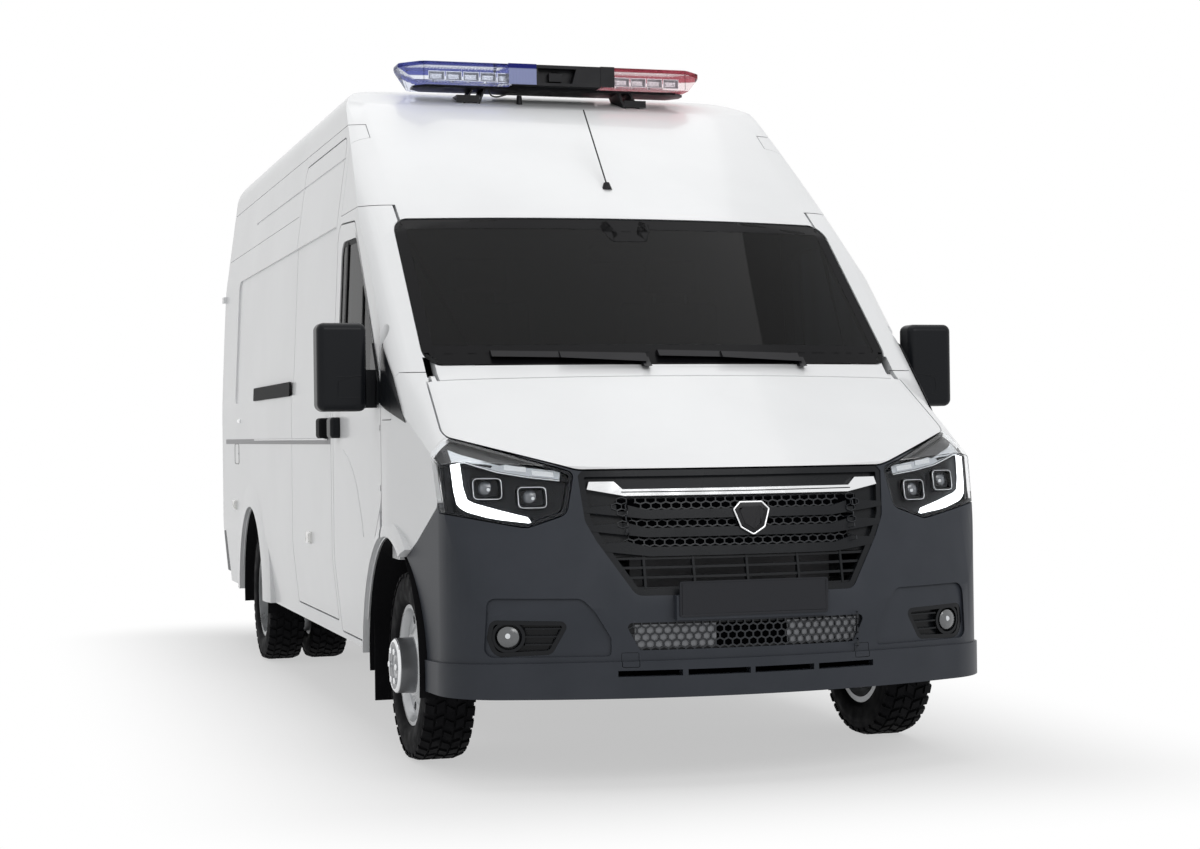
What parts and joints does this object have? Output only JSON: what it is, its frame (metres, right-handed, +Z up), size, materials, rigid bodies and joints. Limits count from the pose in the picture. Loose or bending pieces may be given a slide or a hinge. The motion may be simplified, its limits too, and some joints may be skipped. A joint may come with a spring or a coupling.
{
  "type": "ambulance van",
  "caption": "High-roof ambulance van on steel wheels with twin rear tyres, hinged cab doors, bonnet and rear doors, a side load door and a red and blue roof light bar.",
  "frame": {"origin": "On the road, under the middle of the overall length and width", "axes": "+Z up; the van faces -Y; +X is its left side"},
  "size_m": [2.524, 6.2, 2.7759],
  "materials": {
    "paint": "gloss white paint",
    "dark_plastic": "satin dark grey moulding",
    "black_plastic": "fine grained black",
    "glass_dark": "tinted glass",
    "glass_clear": "clear lens",
    "steel_black": "black chassis paint",
    "steel_rim": "silver wheel paint",
    "tyre": "matt",
    "steel": "plain steel",
    "aluminium": "cast",
    "cast": "cast",
    "fabric": "woven",
    "floor_grey": "grey floor paint",
    "red_lens": "red lens",
    "blue_lens": "blue lens",
    "tail_red": "red lens",
    "rubber": "matt",
    "bright": "bright plated trim"
  },
  "bodies": {
    "body": {"chassis_frame": "steel_black", "floor": "floor_grey", "side_wall_left": "paint", "side_wall_right": "paint", "roof": "paint", "cowl": "black_plastic", "front_wings": "paint", "windscreen": "glass_dark", "front_bumper": "dark_plastic", "grille": "black_plastic", "grille_strip": "bright", "radiator": "aluminium", "headlamps": "black_plastic", "headlamp_lenses": "glass_clear", "fog_lamps": "black_plastic", "rear_step": "dark_plastic", "tail_lamps": "tail_red", "bulkhead": "floor_grey", "dashboard": "black_plastic", "seats": "fabric", "engine": "cast", "front_suspension": "steel_black", "rear_axle": "steel_black", "leaf_springs": "steel_black", "fuel_tank": "black_plastic", "exhaust": "steel", "wipers": "black_plastic", "lightbar_body": "black_plastic", "lightbar_blue": "blue_lens", "lightbar_red": "red_lens", "lightbar_cable": "rubber", "roof_fittings": "black_plastic", "mudflaps": "rubber", "side_trim": "black_plastic", "sliding_door": "paint"},
    "steering_wheel": {"steering_wheel": "black_plastic"},
    "bonnet": {"bonnet": "paint"},
    "knuckle_left": {"knuckle_left": "cast"},
    "front_wheel_left": {"front_tyre_left": "tyre", "front_rim_left": "steel_rim"},
    "rear_wheels_left": {"rear_tyres_left": "tyre", "rear_rims_left": "steel_rim"},
    "front_door_left": {"door_left": "paint", "door_glass_left": "glass_dark", "door_fittings_left": "black_plastic"},
    "rear_door_left": {"rear_door_left": "paint", "rear_glass_left": "glass_dark"},
    "knuckle_right": {"knuckle_right": "cast"},
    "front_wheel_right": {"front_tyre_right": "tyre", "front_rim_right": "steel_rim"},
    "rear_wheels_right": {"rear_tyres_right": "tyre", "rear_rims_right": "steel_rim"},
    "front_door_right": {"door_right": "paint", "door_glass_right": "glass_dark", "door_fittings_right": "black_plastic"},
    "rear_door_right": {"rear_door_right": "paint", "rear_glass_right": "glass_dark"}
  },
  "joints": [
    {"name": "steer_left", "type": "hinge", "parent": "body", "child": "knuckle_left", "pos_m": [0.78, -2.119, 0.342], "axis": [0, 0, 1], "range_deg": [-35, 35]},
    {"name": "front_wheel_spin_left", "type": "hinge", "parent": "knuckle_left", "child": "front_wheel_left", "pos_m": [0.875, -2.119, 0.342], "axis": [1, 0, 0], "continuous": true},
    {"name": "rear_wheels_spin_left", "type": "hinge", "parent": "body", "child": "rear_wheels_left", "pos_m": [0.78, 1.626, 0.342], "axis": [1, 0, 0], "continuous": true},
    {"name": "front_door_left_hinge", "type": "hinge", "parent": "body", "child": "front_door_left", "pos_m": [1.02, -2.012, 1.1], "axis": [0, 0, -1], "range_deg": [0, 60]},
    {"name": "rear_door_left_hinge", "type": "hinge", "parent": "body", "child": "rear_door_left", "pos_m": [0.985, 2.954, 1.5], "axis": [0, 0, -1], "range_deg": [0, 180]},
    {"name": "steer_right", "type": "hinge", "parent": "body", "child": "knuckle_right", "pos_m": [-0.78, -2.119, 0.342], "axis": [0, 0, 1], "range_deg": [-35, 35]},
    {"name": "front_wheel_spin_right", "type": "hinge", "parent": "knuckle_right", "child": "front_wheel_right", "pos_m": [-0.875, -2.119, 0.342], "axis": [1, 0, 0], "continuous": true},
    {"name": "rear_wheels_spin_right", "type": "hinge", "parent": "body", "child": "rear_wheels_right", "pos_m": [-0.78, 1.626, 0.342], "axis": [1, 0, 0], "continuous": true},
    {"name": "front_door_right_hinge", "type": "hinge", "parent": "body", "child": "front_door_right", "pos_m": [-1.02, -2.012, 1.1], "axis": [0, 0, 1], "range_deg": [0, 60]},
    {"name": "rear_door_right_hinge", "type": "hinge", "parent": "body", "child": "rear_door_right", "pos_m": [-0.985, 2.954, 1.5], "axis": [0, 0, 1], "range_deg": [0, 180]},
    {"name": "bonnet_hinge", "type": "hinge", "parent": "body", "child": "bonnet", "pos_m": [0, -2.226, 1.37], "axis": [-1, 0, 0], "range_deg": [0, 50]},
    {"name": "steering_wheel_turn", "type": "hinge", "parent": "body", "child": "steering_wheel", "pos_m": [0.42, -1.686, 1.29], "axis": [0, 0.8, 0.6], "range_deg": [-540, 540]}
  ],
  "couplings": [
    {"joint": "steer_right", "follows": "steer_left", "ratio": 1},
    {"joint": "steering_wheel_turn", "follows": "steer_left", "ratio": 15}
  ]
}
